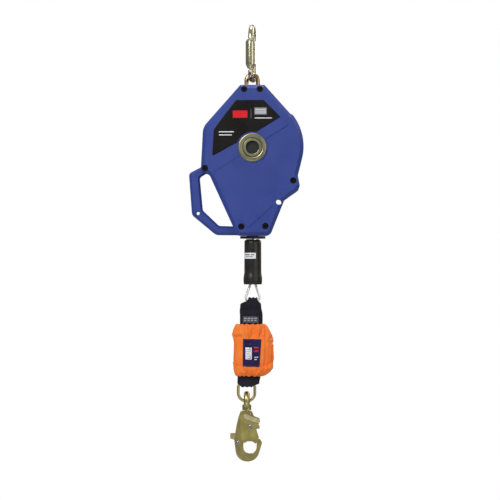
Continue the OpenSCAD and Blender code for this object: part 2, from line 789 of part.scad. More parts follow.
// The gate straddles the body: two cheeks, a thumb bar and the tongue that closes the throat
CHEEK = [
    [-21.5, -572.5, 3], [-16, -577.8, 2.5], [-9.5, -574, 6], [0.5, -574, 8], [6, -579, 2.5], [10.5, -576, 2],
    [12.8, -567, 2], [8.5, -553.5, 2], [8.5, -549.5, 1], [14.5, -549, 1], [14.5, -545.5, 1],
    [12, -542.5, 1.5], [14.5, -536, 2], [15, -530, 2.5], [-12, -519.5, 2], [-20.5, -521.5, 3],
    [-23.5, -535, 4]
];
TONGUE = [[3.5, -575, 1.5], [8.6, -572.5, 1.5], [8.6, -560, 1.5], [3, -562, 1.5]];
THUMB_BAR = [[-17.9, -527.9, 3.8], [13.8, -539.3, 3.8], [16.5, -531.8, 3.8], [-15.2, -520.4, 3.8]];
cheek_in = hook_half + 0.25;
cheek_out = hook_half + 2;
module hook_gate() {
    color(olive) difference() {
        union() {
            for (s = [0, 1]) mirror([0, s, 0]) stand(-cheek_out, -cheek_in) outline(CHEEK);
            stand(-cheek_out + 0.5, cheek_out - 0.5) outline(TONGUE);
            stand(-cheek_out - 5, -cheek_in - 0.5) outline(THUMB_BAR);
        }
        rod_y(gate_pivot[0], gate_pivot[1], gate_pin_r + run_gap, -20, 20);
    }
}
module hook_gate_pin() {
    color(steel) union() {
        rod_y(gate_pivot[0], gate_pivot[1], gate_pin_r, -cheek_out - 1, cheek_out + 1);
        for (s = [0, 1]) mirror([0, s, 0])
            rod_y(gate_pivot[0], gate_pivot[1], 4, -cheek_out - 1.2, -cheek_out - run_gap);
    }
}
module hook_gate_spring() {
    color(dark)
        ring_y(gate_pivot[0], gate_pivot[1], 3.9, gate_pin_r + 0.1, hook_half + 0.02, hook_half + 0.2);
}
LOCK = [[-25, -581, 3], [-23, -563, 2], [-27, -559, 2], [-43, -558, 2], [-43.5, -569, 2], [-31, -573, 2]];
module hook_lock_lever() {
    color(olive) difference() {
        stand(-2, 2) outline(LOCK);
        rod_y(lock_pivot[0], lock_pivot[1], lock_pin_r + run_gap, -20, 20);
    }
}
module hook_lock_pin() {
    color(steel) union() {
        rod_y(lock_pivot[0], lock_pivot[1], lock_pin_r, -hook_half - 0.8, hook_half + 0.8);
        for (s = [0, 1]) mirror([0, s, 0])
            rod_y(lock_pivot[0], lock_pivot[1], 3.5, -hook_half - 1.6, -hook_half - run_gap);
    }
}

below_anchor() front_cover();
below_anchor() rear_cover();
below_anchor() cover_screws();
below_anchor() cover_gasket();
below_anchor() label_panel();
below_anchor() front_hub_ring();
below_anchor() rear_hub_ring();
below_anchor() shaft_end_caps();
below_anchor() tether_grommet();
below_anchor() load_frame();
below_anchor() main_shaft();
below_anchor() shaft_bushings();
below_anchor() drum();
below_anchor() wound_cable();
below_anchor() cable_lead();
below_anchor() motor_spring();
below_anchor() spring_case();
below_anchor() brake_ratchet();
below_anchor() brake_friction_discs();
below_anchor() brake_pressure_plate();
below_anchor() brake_nut();
below_anchor() pawl_1();
below_anchor() pawl_2();
below_anchor() pawl_3();
below_anchor() pawl_pins();
below_anchor() pawl_springs();
below_anchor() anchor_eye();
below_anchor() anchor_thrust_washer();
below_anchor() anchor_collar();
below_anchor() carabiner_body();
below_anchor() carabiner_gate();
below_anchor() carabiner_gate_pin();
below_anchor() carabiner_sleeve();
below_anchor() outlet_flange();
below_anchor() outlet_guide();
below_anchor() stop_washer();
below_anchor() bumper();
below_anchor() bumper_tag();
below_anchor() lifeline();
below_anchor() lifeline_ferrule();
below_anchor() lifeline_loop();
below_anchor() upper_web_loop();
below_anchor() web_patch();
below_anchor() tear_web_pack();
below_anchor() absorber_cover();
below_anchor() absorber_label();
below_anchor() lower_web_loop();
below_anchor() d_ring();
below_anchor() swivel_eye();
below_anchor() swivel_washer();
below_anchor() hook_body();
below_anchor() hook_gate();
below_anchor() hook_gate_pin();
below_anchor() hook_gate_spring();
below_anchor() hook_lock_lever();
below_anchor() hook_lock_pin();
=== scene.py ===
"""A self retracting lifeline: its looks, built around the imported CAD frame.

The frame, the camera and the lights are in metres, with +Z up and the front at -Y. Shapes are built in
millimetres, and MM turns them into metres.
"""

import json
import math

import bpy
import numpy as np
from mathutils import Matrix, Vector, noise
from mathutils.bvhtree import BVHTree


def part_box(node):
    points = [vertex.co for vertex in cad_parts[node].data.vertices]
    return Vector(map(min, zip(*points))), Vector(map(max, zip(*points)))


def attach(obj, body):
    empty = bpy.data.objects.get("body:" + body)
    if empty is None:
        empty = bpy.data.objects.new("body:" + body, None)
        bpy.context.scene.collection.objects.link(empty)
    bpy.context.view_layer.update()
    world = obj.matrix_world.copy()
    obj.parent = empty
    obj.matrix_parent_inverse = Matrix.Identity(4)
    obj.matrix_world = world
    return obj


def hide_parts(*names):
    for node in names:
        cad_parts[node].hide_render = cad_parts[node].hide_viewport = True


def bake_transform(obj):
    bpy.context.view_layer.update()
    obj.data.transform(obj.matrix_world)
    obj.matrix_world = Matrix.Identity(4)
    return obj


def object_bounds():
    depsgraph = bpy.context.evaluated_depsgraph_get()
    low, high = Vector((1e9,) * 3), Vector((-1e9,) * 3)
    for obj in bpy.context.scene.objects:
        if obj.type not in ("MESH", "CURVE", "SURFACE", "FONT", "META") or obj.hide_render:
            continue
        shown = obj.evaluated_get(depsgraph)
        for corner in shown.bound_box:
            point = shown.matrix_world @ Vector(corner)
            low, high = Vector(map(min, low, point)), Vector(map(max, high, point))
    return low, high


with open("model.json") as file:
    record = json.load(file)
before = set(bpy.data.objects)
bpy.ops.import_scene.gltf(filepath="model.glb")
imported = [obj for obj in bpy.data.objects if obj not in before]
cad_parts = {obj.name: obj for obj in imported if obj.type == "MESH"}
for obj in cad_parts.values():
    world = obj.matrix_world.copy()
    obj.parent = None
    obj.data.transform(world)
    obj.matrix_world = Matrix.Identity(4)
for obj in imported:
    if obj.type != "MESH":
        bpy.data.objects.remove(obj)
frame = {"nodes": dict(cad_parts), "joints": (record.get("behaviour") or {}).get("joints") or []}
CAD_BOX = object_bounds()
NODES = frame["nodes"]
MM = 0.001
TAU = 2 * math.pi


# ---------------------------------------------------------------- places taken from the frame

def box_mm(node):
    """Lowest and highest corner of a CAD node, in millimetres."""
    low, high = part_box(node)
    return np.array(low) / MM, np.array(high) / MM


def middle_mm(node):
    low, high = box_mm(node)
    return (low + high) / 2


def joint_point(name):
    """A joint's pivot in millimetres."""
    joint = next(j for j in frame["joints"] if j["name"] == name)
    return np.array(joint["pos_m"]) / MM


HUB = middle_mm("front_hub_ring")
COVER_LOW, COVER_HIGH = box_mm("absorber_cover")
LOOP_LOW, LOOP_HIGH = box_mm("lifeline_loop")
LOOP_BAR = joint_point("absorber_swing")
RING_BAR = joint_point("d_ring_swing")
ROPE_R = 2.4


# ---------------------------------------------------------------- node-based materials

class Shader:
    """A material being built. Each method adds nodes and returns the socket that carries its result."""

    def __init__(self, name):
        self.material = bpy.data.materials.new(name)
        self.material.use_nodes = True
        self.tree = self.material.node_tree
        self.bsdf = self.tree.nodes["Principled BSDF"]
        self.place = self.tree.nodes.new("ShaderNodeTexCoord").outputs["Object"]

    def add(self, kind, **settings):
        node = self.tree.nodes.new(kind)
        for key, value in settings.items():
            setattr(node, key, value)
        return node

    def feed(self, socket, value):
        if isinstance(value, bpy.types.NodeSocket):
            self.tree.links.new(value, socket)
        else:
            socket.default_value = value

    def stretched(self, scale):
        node = self.add("ShaderNodeMapping")
        self.feed(node.inputs["Vector"], self.place)
        node.inputs["Scale"].default_value = scale
        return node.outputs[0]

    def noise(self, scale, detail=3.0, roughness=0.5, stretch=None):
        node = self.add("ShaderNodeTexNoise")
        self.feed(node.inputs["Vector"], self.stretched(stretch) if stretch else self.place)
        node.inputs["Scale"].default_value = scale
        node.inputs["Detail"].default_value = detail
        node.inputs["Roughness"].default_value = roughness
        return node.outputs["Fac"]

    def cells(self, scale):
        node = self.add("ShaderNodeTexVoronoi")
        self.feed(node.inputs["Vector"], self.place)
        node.inputs["Scale"].default_value = scale
        return node.outputs["Distance"]

    def math(self, operation, a, b=0.0):
        node = self.add("ShaderNodeMath", operation=operation)
        self.feed(node.inputs[0], a)
        self.feed(node.inputs[1], b)
        return node.outputs[0]

    def span(self, value, low, high, to_low=0.0, to_high=1.0):
        node = self.add("ShaderNodeMapRange")
        self.feed(node.inputs["Value"], value)
        for key, number in (("From Min", low), ("From Max", high), ("To Min", to_low), ("To Max", to_high)):
            node.inputs[key].default_value = number
        return node.outputs[0]

    def mix(self, factor, a, b):
        node = self.add("ShaderNodeMix", data_type="RGBA")
        self.feed(node.inputs["Factor"], factor)
        self.feed(node.inputs[6], a)
        self.feed(node.inputs[7], b)
        return node.outputs[2]

    def axis(self, letter):
        node = self.add("ShaderNodeSeparateXYZ")
        self.feed(node.inputs[0], self.place)
        return node.outputs[letter]

    def edges(self, radius):
        """1 on convex and concave edges sharper than the radius, 0 on flats."""
        rounded = self.add("ShaderNodeBevel", samples=4)
        rounded.inputs["Radius"].default_value = radius
        plain = self.add("ShaderNodeNewGeometry")
        dot = self.add("ShaderNodeVectorMath", operation="DOT_PRODUCT")
        self.feed(dot.inputs[0], rounded.outputs[0])
        self.feed(dot.inputs[1], plain.outputs["Normal"])
        return self.span(dot.outputs["Value"], 0.995, 0.9)

    def bump(self, height, strength, distance, under=None):
        node = self.add("ShaderNodeBump")
        node.inputs["Strength"].default_value = strength
        node.inputs["Distance"].default_value = distance
        self.feed(node.inputs["Height"], height)
        if under is not None:
            self.feed(node.inputs["Normal"], under)
        return node.outputs[0]

    def set(self, **inputs):
        names = {
            "color": "Base Color", "metal": "Metallic", "rough": "Roughness", "normal": "Normal",
            "sheen": "Sheen Weight", "sheen_rough": "Sheen Roughness", "specular": "Specular IOR Level",
        }
        for key, value in inputs.items():
            self.feed(self.bsdf.inputs[names[key]], value)
        return self.material


def tone(color, factor):
    return tuple(min(1.0, c * factor) for c in color[:3]) + (1.0,)


def srgb(r, g, b):
    """A colour given as 0-255 display values, as Blender's linear values."""
    shares = [c / 255 for c in (r, g, b)]
    linear = [s / 12.92 if s <= 0.04045 else ((s + 0.055) / 1.055) ** 2.4 for s in shares]
    return (*linear, 1.0)


def moulded_plastic(name, color, rough=0.44, grain=0.3):
    """Injection-moulded plastic: fine spark texture, faint flow marks, rubbed edges, light scratches."""
    s = Shader(name)
    flow = s.span(s.noise(9, 4), 0.3, 0.7)
    body = s.mix(flow, tone(color, 0.92), tone(color, 1.08))
    rubbed = s.math("MULTIPLY", s.edges(0.0012), s.span(s.noise(60, 4), 0.35, 0.7))
    body = s.mix(s.math("MULTIPLY", rubbed, 0.35), body, tone(color, 1.9))
    scratch = s.span(s.noise(90, 2, stretch=(1, 1, 0.06)), 0.70, 0.74)
    roughness = s.math("ADD", s.span(s.noise(35, 4), 0.3, 0.7, rough - 0.06, rough + 0.08),
                       s.math("MULTIPLY", scratch, 0.12))
    grains = s.bump(s.cells(1500), 0.10 * grain, 0.0002)
    texture = s.bump(s.noise(1100, 3), 0.12 * grain, 0.0002, grains)
    return s.set(color=body, rough=roughness, specular=0.45, normal=texture)


def plated_steel(name, color, warm, rough=0.30, spots=0.5, painted_highlight_front_y=None):
    """Zinc-plated forging: two plating hues that drift, soft forging texture, bright rubbed edges, and an
    optional painted highlight on all that lies in front of a given y.
    """
    s = Shader(name)
    drift = s.span(s.noise(32, 2), 0.32, 0.68)
    body = s.mix(drift, color, warm)
    dull = s.span(s.noise(110, 3), 0.52, 0.78)
    body = s.mix(s.math("MULTIPLY", dull, spots), body, tone(color, 0.6))
    body = s.mix(s.math("MULTIPLY", s.edges(0.0007), 0.5), body, tone(warm, 1.3))
    # painted highlight: near-white cream on all that lies in front of the given y, fading in over a
    # millimetre
    if painted_highlight_front_y is not None:
        body = s.mix(s.span(s.axis("Y"), painted_highlight_front_y, painted_highlight_front_y - MM), body, srgb(246, 236, 190))
    roughness = s.span(s.noise(70, 3), 0.3, 0.7, rough - 0.05, rough + 0.07)
    normal = s.bump(s.noise(260, 2), 0.035, 0.0004)
    return s.set(color=body, metal=1.0, rough=roughness, normal=normal)


def turned_steel(name, color, rough=0.25, stretch=(1, 40, 1)):
    """Machined or drawn metal with fine lines along one direction."""
    s = Shader(name)
    lines = s.noise(70, 4, 0.6, stretch)
    body = s.mix(s.span(lines, 0.35, 0.65), tone(color, 0.86), tone(color, 1.08))
    smudge = s.span(s.noise(30, 3), 0.4, 0.7, rough - 0.05, rough + 0.12)
    return s.set(color=body, metal=1.0, rough=smudge, normal=s.bump(lines, 0.08, 0.0003))


def black_rubber(name, color, rough=0.6):
    """Black moulded sleeve: soft, slightly dusty, with a mottled sheen."""
    s = Shader(name)
    dust = s.span(s.noise(40, 5), 0.42, 0.75)
    body = s.mix(s.math("MULTIPLY", dust, 0.35), color, tone(color, 2.2))
    roughness = s.span(s.noise(90, 4), 0.3, 0.7, rough - 0.10, rough + 0.10)
    ridges = s.noise(160, 3, 0.5, (1, 1, 0.1))
    return s.set(color=body, rough=roughness, specular=0.35, normal=s.bump(ridges, 0.06, 0.0004))


def gloss_film(name, color):
    """Printed label film: deep gloss with slight orange-peel and fine dust."""
    s = Shader(name)
    dust = s.span(s.noise(700, 2), 0.66, 0.74)
    body = s.mix(s.math("MULTIPLY", dust, 0.12), color, (0.4, 0.4, 0.4, 1))
    return s.set(color=body, rough=s.span(s.noise(25, 3), 0.3, 0.7, 0.22, 0.36), specular=0.3,
                 normal=s.bump(s.noise(160, 2), 0.04, 0.0005))


def woven(name, color, light, pitch, relief=0.35, sheen=0.25, rough=0.8):
    """Cloth or webbing: warp and weft threads that pass over and under, with lint, random fading, and painted
    shade in the gaps between threads.
    """
    s = Shader(name)
    frequency = math.pi / (pitch * MM)
    across = s.math("SINE", s.math("MULTIPLY", s.axis("X"), frequency))
    along = s.math("SINE", s.math("MULTIPLY", s.axis("Z"), frequency))
    over = s.span(s.math("MULTIPLY", across, along), -0.15, 0.15)
    threads = s.math("ADD", s.math("MULTIPLY", over, s.math("ABSOLUTE", across)),
                     s.math("MULTIPLY", s.math("SUBTRACT", 1.0, over), s.math("ABSOLUTE", along)))
    fade = s.span(s.noise(45, 4), 0.35, 0.7)
    body = s.mix(fade, color, light)
    # painted shade: darker where the threads dip into the gaps between them
    body = s.mix(s.span(threads, 0.75, 0.15, 0.0, 0.5), body, tone(color, 0.45))
    lint = s.bump(s.noise(900, 3), 0.12, 0.0002)
    return s.set(color=body, rough=rough, sheen=sheen, sheen_rough=0.45, specular=0.25,
                 normal=s.bump(threads, relief, pitch * MM * 0.5, lint))


def thread(name, color):
    """Sewing thread with a twisted ply."""
    s = Shader(name)
    twist = s.noise(900, 2, 0.5, (1, 1, 0.4))
    body = s.mix(s.span(twist, 0.4, 0.6), tone(color, 0.7), tone(color, 1.15))
    return s.set(color=body, rough=0.6, sheen=0.3, normal=s.bump(twist, 0.4, 0.0002))


NAVY_BLUE = srgb(40, 60, 136)
OLIVE_GOLD = srgb(188, 176, 118)
ZINC_GREY = srgb(176, 172, 146)
BRIGHT = srgb(205, 205, 200)

MATERIALS = {
    "housing": moulded_plastic("blue_housing_plastic", NAVY_BLUE),
    "dark_plastic": moulded_plastic("black_moulded_plastic", srgb(22, 21, 21), 0.5),
    "film": gloss_film("black_label_film", srgb(17, 15, 14)),
    "zinc": plated_steel("zinc_plate", ZINC_GREY, srgb(188, 180, 150), 0.20, 0.25),
    "hub_zinc": plated_steel("hub_zinc_plate", srgb(150, 150, 122), srgb(158, 154, 118), 0.34, 0.3),
    "yellow_zinc": plated_steel("yellow_zinc_plate", OLIVE_GOLD, srgb(204, 186, 120), 0.30, 0.3),
    # the gate's thumb bar stands proud of its cheek; its front-most millimetres get a painted highlight, a
    # near-white cream
    # the gate and the lock lever are lighter copies of the hook's yellow zinc: painted highlight that sets
    # them apart from the body, which the lamps leave at one tone
    "gate_zinc": plated_steel("gate_zinc_plate", srgb(200, 190, 114), srgb(212, 196, 122), 0.32, 0.2,
                              painted_highlight_front_y=(box_mm("hook_gate")[0][1] + 3) * MM),
    "lever_zinc": plated_steel("lever_zinc_plate", srgb(236, 224, 172), srgb(232, 212, 150), 0.30, 0.2),
    "copper": plated_steel("coppery_plate", srgb(168, 138, 112), srgb(182, 150, 112), 0.24, 0.3),
    "steel": turned_steel("bright_steel", BRIGHT),
    "black_steel": turned_steel("black_oxide_steel", srgb(38, 38, 40), 0.4),
    "rope": turned_steel("galvanized_strand", srgb(238, 238, 235), 0.38, (30, 30, 1)),
    "aluminium": turned_steel("machined_aluminium", srgb(214, 214, 218), 0.3),
    "bronze": plated_steel("sintered_bronze", srgb(172, 132, 84), srgb(150, 110, 66), 0.42),
    "friction": moulded_plastic("friction_lining", srgb(92, 70, 54), 0.8, 1.5),
    "rubber": black_rubber("black_sleeve", srgb(30, 27, 25), 0.36),
    "webbing": woven("navy_webbing", srgb(20, 18, 29), srgb(34, 32, 48), 1.5, 0.6, 0.12),
    "patch": woven("grey_patch", srgb(74, 74, 82), srgb(104, 104, 112), 0.9, 0.4, 0.12),
    "orange": woven("orange_nylon", srgb(252, 118, 34), srgb(255, 142, 60), 0.55, 0.25, 0.15, 0.62),
    "navy_label": woven("woven_navy_label", srgb(28, 20, 66), srgb(38, 30, 82), 0.4, 0.3, 0.08),
    "white_print": gloss_film("white_print", srgb(226, 228, 232)),
    "red_print": gloss_film("red_print", srgb(206, 32, 40)),
    "grey_print": gloss_film("grey_print", srgb(120, 122, 126)),
    "pale_print": gloss_film("pale_print", srgb(158, 160, 166)),
    "orange_thread": thread("orange_thread", srgb(255, 160, 90)),
    "navy_thread": thread("navy_thread", srgb(70, 66, 96)),
}

NODE_MATERIALS = {
    "housing": ["front_cover", "rear_cover", "tether_grommet"],
    "dark_plastic": ["shaft_end_caps", "outlet_flange"],
    "film": ["label_panel"],
    "zinc": ["carabiner_body", "carabiner_gate", "carabiner_sleeve"],
    "hub_zinc": ["front_hub_ring", "rear_hub_ring"],
    "yellow_zinc": ["d_ring", "swivel_eye", "hook_body", "pawl_1", "pawl_2", "pawl_3"],
    "gate_zinc": ["hook_gate"],
    "lever_zinc": ["hook_lock_lever"],
    "copper": ["anchor_eye"],
    "steel": ["load_frame", "main_shaft", "brake_ratchet", "brake_pressure_plate", "brake_nut", "pawl_pins",
              "anchor_collar", "carabiner_gate_pin", "stop_washer", "swivel_washer", "hook_gate_spring",
              "hook_gate_pin", "hook_lock_pin"],
    "black_steel": ["cover_screws", "motor_spring", "spring_case", "pawl_springs"],
    "rope": ["wound_cable", "cable_lead"],
    "aluminium": ["drum", "lifeline_ferrule"],
    "bronze": ["shaft_bushings", "anchor_thrust_washer", "outlet_guide"],
    "friction": ["brake_friction_discs"],
    "rubber": ["bumper", "cover_gasket"],
    "webbing": ["tear_web_pack"],
}


# ---------------------------------------------------------------- finishing of the CAD pieces

def smooth_by_angle(limit_degrees):
    """A node group that joins split vertices and smooths every edge flatter than the limit."""
    group = bpy.data.node_groups.new(f"smooth_under_{limit_degrees}", "GeometryNodeTree")
    group.interface.new_socket("Geometry", in_out="INPUT", socket_type="NodeSocketGeometry")
    group.interface.new_socket("Geometry", in_out="OUTPUT", socket_type="NodeSocketGeometry")
    nodes, links = group.nodes, group.links
    start, end = nodes.new("NodeGroupInput"), nodes.new("NodeGroupOutput")
    merge = nodes.new("GeometryNodeMergeByDistance")
    merge.inputs["Distance"].default_value = 2e-6
    faces = nodes.new("GeometryNodeSetShadeSmooth")
    faces.domain = "FACE"
    edges = nodes.new("GeometryNodeSetShadeSmooth")
    edges.domain = "EDGE"
    edges.inputs["Shade Smooth"].default_value = False
    angle = nodes.new("GeometryNodeInputMeshEdgeAngle")
    sharp = nodes.new("FunctionNodeCompare")
    sharp.operation = "GREATER_THAN"
    sharp.inputs[1].default_value = math.radians(limit_degrees)
    links.new(angle.outputs["Unsigned Angle"], sharp.inputs[0])
    links.new(sharp.outputs[0], edges.inputs["Selection"])
    for a, b in ((start, merge), (merge, faces), (faces, edges), (edges, end)):
        links.new(a.outputs[0], b.inputs[0])
    return group


SMOOTH = smooth_by_angle(28)


def finish_cad(node, material, round_mm, segments=2):
    """Gives a CAD node its material and softens its hard edges with modifiers only."""
    piece = NODES[node]
    piece.data.materials.clear()
    piece.data.materials.append(MATERIALS[material])
    join = piece.modifiers.new("join_and_smooth", "NODES")
    join.node_group = SMOOTH
    if round_mm:
        flat = piece.modifiers.new("merge_flats", "DECIMATE")
        flat.decimate_type = "DISSOLVE"
        flat.angle_limit = math.radians(0.6)
        bevel = piece.modifiers.new("rounded_edges", "BEVEL")
        bevel.width = round_mm * MM
        bevel.segments = segments
        bevel.limit_method = "ANGLE"
        bevel.angle_limit = math.radians(28)
        bevel.harden_normals = False
        again = piece.modifiers.new("smooth_again", "NODES")
        again.node_group = SMOOTH
        weights = piece.modifiers.new("flat_faces_stay_flat", "WEIGHTED_NORMAL")
        weights.keep_sharp = True


# Edge rounding where it differs from the usual. Round bars and moulded tubes need none.
USUAL_ROUNDING = 0.3
ROUNDING = {
    "front_cover": 0.9, "rear_cover": 0.9, "outlet_flange": 0.6, "front_hub_ring": 0.5, "rear_hub_ring": 0.5,
    "hook_body": 2.2, "hook_gate": 1.2, "hook_lock_lever": 0.7, "carabiner_sleeve": 0.6,
    "bumper": 0, "anchor_eye": 0, "d_ring": 0, "swivel_eye": 0, "wound_cable": 0, "cable_lead": 0,
    "motor_spring": 0,
}


def finish_all_cad():
    for material, names in NODE_MATERIALS.items():
        for name in names:
            finish_cad(name, material, ROUNDING.get(name, USUAL_ROUNDING))
    finish_cad("bumper_tag", "white_print", 0)


# ---------------------------------------------------------------- mesh building helpers

def mesh_object(name, points_mm, faces, material, smooth=True):
    """A new object from points in millimetres."""
    mesh = bpy.data.meshes.new(name)
    mesh.from_pydata([tuple(p * MM) for p in np.asarray(points_mm, float)], [], faces)
    mesh.validate()
    mesh.polygons.foreach_set("use_smooth", [smooth] * len(mesh.polygons))
    mesh.materials.append(MATERIALS[material])
    piece = bpy.data.objects.new(name, mesh)
    bpy.context.scene.collection.objects.link(piece)
    return piece


def grid_faces(rows, columns, wrap_columns=False):
    """Quads of a grid of points laid out row by row."""
    faces = []
    for r in range(rows - 1):
        for c in range(columns if wrap_columns else columns - 1):
            a, b = r * columns + c, r * columns + (c + 1) % columns
            faces.append((a, b, b + columns, a + columns))
    return faces


def tube(path, radius, sides=10):
    """Points and faces of a closed round tube along a path of points."""
    path = np.asarray(path, float)
    heading = np.gradient(path, axis=0)
    heading /= np.linalg.norm(heading, axis=1)[:, None]
    side = np.cross(heading[0], [0.0, 1.0, 0.0])
    if np.linalg.norm(side) < 0.1:
        side = np.cross(heading[0], [1.0, 0.0, 0.0])
    points = []
    for centre, ahead in zip(path, heading):
        side = side - ahead * (side @ ahead)
        side /= np.linalg.norm(side)
        up = np.cross(ahead, side)
        for k in range(sides):
            a = TAU * k / sides
            points.append(centre + radius * (math.cos(a) * side + math.sin(a) * up))
    faces = grid_faces(len(path), sides, wrap_columns=True)
    last = (len(path) - 1) * sides
    faces.append(tuple(reversed(range(sides))))
    faces.append(tuple(range(last, last + sides)))
    return points, faces


def join_parts(parts):
    """Several (points, faces) as one."""
    points, faces = [], []
    for some_points, some_faces in parts:
        start = len(points)
        points.extend(some_points)
        faces.extend(tuple(start + i for i in face) for face in some_faces)
    return points, faces


def resample(path, step):
    """The same path with points at an even spacing."""
    path = np.asarray(path, float)
    lengths = np.concatenate([[0], np.cumsum(np.linalg.norm(np.diff(path, axis=0), axis=1))])
    marks = np.linspace(0, lengths[-1], max(2, int(round(lengths[-1] / step)) + 1))
    return np.stack([np.interp(marks, lengths, path[:, k]) for k in range(3)], axis=1)


def wire_rope(path, radius, pitch, strands=6, step=1.0):
    """Six strands laid round a core along a path, as points and faces."""
    path = resample(path, step)
    heading = np.gradient(path, axis=0)
    heading /= np.linalg.norm(heading, axis=1)[:, None]
    # a strand's radius r and its lay circle: neighbours touch when r = lay * sin(180 / strands)
    strand = radius / (1 + 1 / math.sin(math.pi / strands))
    lay = radius - strand
    side = np.cross(heading[0], [0.0, 1.0, 0.0])
    parts = [tube(path, lay - strand * 0.7, 8)]
    frames = []
    for ahead in heading:
        side = side - ahead * (side @ ahead)
        side = side / np.linalg.norm(side)
        frames.append((side, np.cross(ahead, side)))
    for k in range(strands):
        helix = []
        for i, centre in enumerate(path):
            a = TAU * (k / strands + i * step / pitch)
            s, u = frames[i]
            helix.append(centre + lay * (math.cos(a) * s + math.sin(a) * u))
        parts.append(tube(helix, strand, 8))
    return join_parts(parts)


def arc_points(centre, radius, start, end, steps):
    """Points on an arc in the XZ plane, angles in degrees."""
    angles = np.radians(np.linspace(start, end, steps + 1))
    shift = np.stack([radius * np.cos(angles), np.zeros_like(angles), radius * np.sin(angles)], axis=1)
    return np.asarray(centre) + shift


def extrude_outline(name, outline_xz, y_front, y_back, material, body):
    """A flat plate from an outline in the XZ plane."""
    n = len(outline_xz)
    points = [(x, y_front, z) for x, z in outline_xz] + [(x, y_back, z) for x, z in outline_xz]
    faces = [tuple(range(n)), tuple(reversed(range(n, 2 * n)))]
    faces += [(i, i + n, (i + 1) % n + n, (i + 1) % n) for i in range(n)]
    piece = mesh_object(name, points, faces, material, smooth=False)
    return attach(piece, body)


def rounded_rectangle(x0, z0, x1, z1, radius, steps=5):
    """Corner-rounded rectangle, anticlockwise."""
    outline = []
    for cx, cz, start in ((x1 - radius, z0 + radius, -90), (x1 - radius, z1 - radius, 0),
                          (x0 + radius, z1 - radius, 90), (x0 + radius, z0 + radius, 180)):
        for k in range(steps + 1):
            a = math.radians(start + 90 * k / steps)
            outline.append((cx + radius * math.cos(a), cz + radius * math.sin(a)))
    return outline


# ---------------------------------------------------------------- wire rope

def build_lifeline():
    """The rope between the drum and the bumper, laid straight down the middle of the CAD lifeline's box."""
    low, high = box_mm("lifeline")
    x, y = (low[0] + high[0]) / 2, (low[1] + high[1]) / 2
    points, faces = wire_rope([(x, y, high[2]), (x, y, low[2])], ROPE_R, 28)
    rope = mesh_object("lifeline_rope", points, faces, "rope")
    held_high, held_low = (x * MM, y * MM, (high[2] - 4) * MM), (x * MM, y * MM, (low[2] + 2) * MM)
    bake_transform(rope)
    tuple(held_high)
    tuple(held_low)
    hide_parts("lifeline")


def build_lifeline_loop():
    """The rope's end turned back on itself below the bumper, as two legs and a flat bottom."""
    middle = (LOOP_LOW[0] + LOOP_HIGH[0]) / 2
    half = (LOOP_HIGH[0] - LOOP_LOW[0]) / 2 - ROPE_R
    bottom, top = LOOP_LOW[2] + ROPE_R, LOOP_HIGH[2]
    bend, leg_top = 5.0, 3.2
    across, reach = half - bend - leg_top, top - bottom - bend
    lean = math.degrees(math.atan2(across, reach) + math.asin(bend / math.hypot(across, reach)))
    right = arc_points((middle + half - bend, 0, bottom + bend), bend, -90, lean, 8)
    left = [(2 * middle - p[0], p[1], p[2]) for p in right]
    path = [(middle - leg_top, 0, top), *reversed(left), *right, (middle + leg_top, 0, top)]
    points, faces = wire_rope(path, ROPE_R, 24, step=0.8)
    loop = mesh_object("lifeline_loop_rope", points, faces, "rope")
    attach(loop, "lifeline_end")
    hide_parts("lifeline_loop")


# ---------------------------------------------------------------- webbing straps

def smooth_step(value, low, high):
    t = min(1.0, max(0.0, (value - low) / (high - low)))
    return t * t * (3 - 2 * t)


def strap(name, rows, thickness=2.0, columns=26):
    """A webbing strap from rows of (centre, outward direction, half width, pleat depth, edge curl)."""
    points = []
    for centre, out, half, pleat, curl in rows:
        centre, out = np.asarray(centre, float), np.asarray(out, float)
        ring = []
        for side in (1, -1):
            for k in range(columns + 1):
                t = side * (-1 + 2 * k / columns)
                edge = 0.0 if abs(t) == 1 else side * thickness / 2
                lift = pleat * math.sin(2.5 * math.pi * t + 0.6) - curl * t * t + edge
                if abs(t) < 1 or side == 1:
                    ring.append(centre + np.array([half * t, 0, 0]) + out * lift)
        points.extend(ring)
    around = len(points) // len(rows)
    faces = grid_faces(len(rows), around, wrap_columns=True)
    last = (len(rows) - 1) * around
    faces += [tuple(reversed(range(around))), tuple(range(last, last + around))]
    return mesh_object(name, points, faces, "webbing")


def folded_path(bar_z, reach, ply_y, way, steps=16, spacing=1.6):
    """Centre line of a strap that runs to a bar, round it and back: (y, z, outward y, outward z)."""
    run = abs(reach - bar_z)
    count = int(run / spacing)
    rows = [(-ply_y, reach + (bar_z - reach) * k / count, -1.0, 0.0) for k in range(count)]
    for k in range(steps + 1):
        a = math.pi * k / steps
        out_y, out_z = -math.cos(a), way * math.sin(a)
        rows.append((ply_y * out_y, bar_z + ply_y * out_z, out_y, out_z))
    rows += [(ply_y, bar_z + (reach - bar_z) * k / count, 1.0, 0.0) for k in range(1, count + 1)]
    return rows


